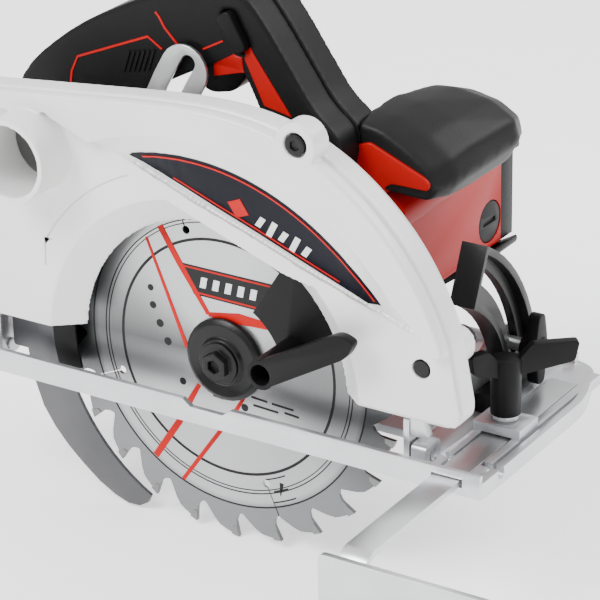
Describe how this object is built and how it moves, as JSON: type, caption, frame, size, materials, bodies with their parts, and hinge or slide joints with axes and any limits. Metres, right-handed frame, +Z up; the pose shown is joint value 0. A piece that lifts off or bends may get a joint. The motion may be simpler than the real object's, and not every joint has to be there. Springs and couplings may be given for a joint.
{
  "type": "circular saw",
  "caption": "Corded hand circular saw: blade in a cast guard with dust port, swinging lower guard, side motor, D-handle and pommel, on a bevelling base with rip fence.",
  "frame": {"origin": "on the sole, 70 mm from the blade's outer face on the motor side, level with the blade's axis along the cut", "axes": "+X is the cutting direction, +Y runs from the blade to the motor, +Z is up from the sole"},
  "size_m": [0.402, 0.2808, 0.2667],
  "materials": {
    "base_aluminium": "cast aluminium with machined edges",
    "guard_paint": "silver-white fine textured paint on cast aluminium",
    "cast_aluminium": "bare die-cast aluminium",
    "zinc_steel": "zinc-plated steel, lightly brushed",
    "blade_steel": "circular-ground steel",
    "dark_steel": "oiled dark steel",
    "black_steel": "black powder coat",
    "black_plastic": "fine-grained moulded plastic",
    "red_plastic": "satin moulded plastic",
    "soft_grip": "soft-touch overmould",
    "copper": "lacquered copper",
    "carbon": "pressed carbon",
    "cream_plastic": "glass-filled plastic"
  },
  "bodies": {
    "base": {"base_plate": "base_aluminium", "bevel_quadrant": "black_steel", "front_bevel_pin": "zinc_steel", "rear_bevel_pin": "zinc_steel"},
    "fence": {"rip_fence": "zinc_steel", "fence_shoe": "black_plastic"},
    "fence_screw": {"fence_wing_screw": "black_plastic", "fence_bolt": "zinc_steel"},
    "tilt_frame": {"tilt_frame": "zinc_steel", "depth_guide": "zinc_steel", "bevel_bolt": "zinc_steel"},
    "bevel_nut": {"bevel_wing_nut": "black_plastic"},
    "saw_body": {"upper_guard": "guard_paint", "depth_pivot_pin": "black_steel", "guard_screw": "black_steel", "riving_knife": "dark_steel", "knife_clamp": "cast_aluminium", "knife_screw": "zinc_steel", "guard_return_spring": "dark_steel", "gear_housing": "cast_aluminium", "bearing_plate": "cast_aluminium", "spindle_blade_bearing": "dark_steel", "spindle_gear_bearing": "dark_steel", "armature_drive_bearing": "dark_steel", "armature_end_bearing": "dark_steel", "field_stack": "dark_steel", "field_coil_upper": "copper", "field_coil_lower": "copper", "motor_housing": "red_plastic", "motor_end_cap": "black_plastic", "carbon_brush_front": "carbon", "carbon_brush_rear": "carbon", "brush_spring_front": "zinc_steel", "brush_spring_rear": "zinc_steel", "brush_cap_front": "black_plastic", "brush_cap_rear": "black_plastic", "handle_near_half": "black_plastic", "handle_far_half": "black_plastic", "pommel_grip": "soft_grip", "switch_block": "cream_plastic", "cord_gland": "black_plastic", "depth_lock_bolt": "zinc_steel"},
    "spindle": {"saw_blade": "blade_steel", "inner_flange": "dark_steel", "outer_flange": "black_steel", "blade_bolt": "black_steel", "spindle": "dark_steel", "drive_gear": "dark_steel"},
    "armature": {"armature_core": "dark_steel", "armature_shaft": "dark_steel", "commutator": "copper", "cooling_fan": "cream_plastic"},
    "lower_guard": {"lower_guard": "black_plastic", "guard_lever": "black_plastic"},
    "depth_lever": {"depth_lock_lever": "black_plastic"},
    "trigger": {"trigger": "black_plastic"},
    "lock_off": {"lock_off_button": "black_plastic"},
    "spindle_lock": {"spindle_lock_button": "red_plastic"}
  },
  "joints": [
    {"name": "bevel_tilt", "type": "hinge", "parent": "base", "child": "tilt_frame", "pos_m": [0, -0.07, 0.006], "axis": [1, 0, 0], "range_deg": [0, 45]},
    {"name": "depth_adjust", "type": "hinge", "parent": "tilt_frame", "child": "saw_body", "pos_m": [0.119, -0.07, 0.06], "axis": [0, 1, 0], "range_deg": [0, 31.5]},
    {"name": "blade_spin", "type": "hinge", "parent": "saw_body", "child": "spindle", "pos_m": [0, -0.07, 0.0283], "axis": [0, -1, 0], "continuous": true},
    {"name": "armature_spin", "type": "hinge", "parent": "saw_body", "child": "armature", "pos_m": [0.01221, 0.03, 0.05707], "axis": [0, -1, 0], "continuous": true},
    {"name": "lower_guard_swing", "type": "hinge", "parent": "saw_body", "child": "lower_guard", "pos_m": [0, -0.07, 0.0283], "axis": [0, -1, 0], "range_deg": [0, 145], "stiffness_Nm_per_rad": 0.03, "springref_deg": 171.89},
    {"name": "fence_slide", "type": "slide", "parent": "base", "child": "fence", "axis": [0, 1, 0], "range_m": [-0.055, 0.075]},
    {"name": "fence_screw_turn", "type": "hinge", "parent": "base", "child": "fence_screw", "pos_m": [0.13, -0.033, 0.03], "axis": [0, 0, 1], "range_deg": [-80, 60]},
    {"name": "bevel_nut_turn", "type": "hinge", "parent": "tilt_frame", "child": "bevel_nut", "pos_m": [0.118, 0.01307, 0.02826], "axis": [1, 0, 0], "range_deg": [-180, 180]},
    {"name": "depth_lever_turn", "type": "hinge", "parent": "saw_body", "child": "depth_lever", "pos_m": [-0.06546, -0.036, 0.06386], "axis": [0, -1, 0], "range_deg": [0, 40]},
    {"name": "trigger_pull", "type": "hinge", "parent": "saw_body", "child": "trigger", "pos_m": [-0.041, -0.02, 0.158], "axis": [0, -1, 0], "range_deg": [0, 14], "stiffness_Nm_per_rad": 0.15, "springref_deg": -8.59},
    {"name": "lock_off_push", "type": "slide", "parent": "saw_body", "child": "lock_off", "axis": [0, 1, 0], "range_m": [0, 0.004], "stiffness_N_per_m": 400, "springref_m": -0.002},
    {"name": "spindle_lock_push", "type": "slide", "parent": "saw_body", "child": "spindle_lock", "axis": [-1, 0, 0], "range_m": [0, 0.004], "stiffness_N_per_m": 400, "springref_m": -0.002}
  ],
  "couplings": [
    {"joint": "armature_spin", "follows": "blade_spin", "ratio": -4}
  ]
}
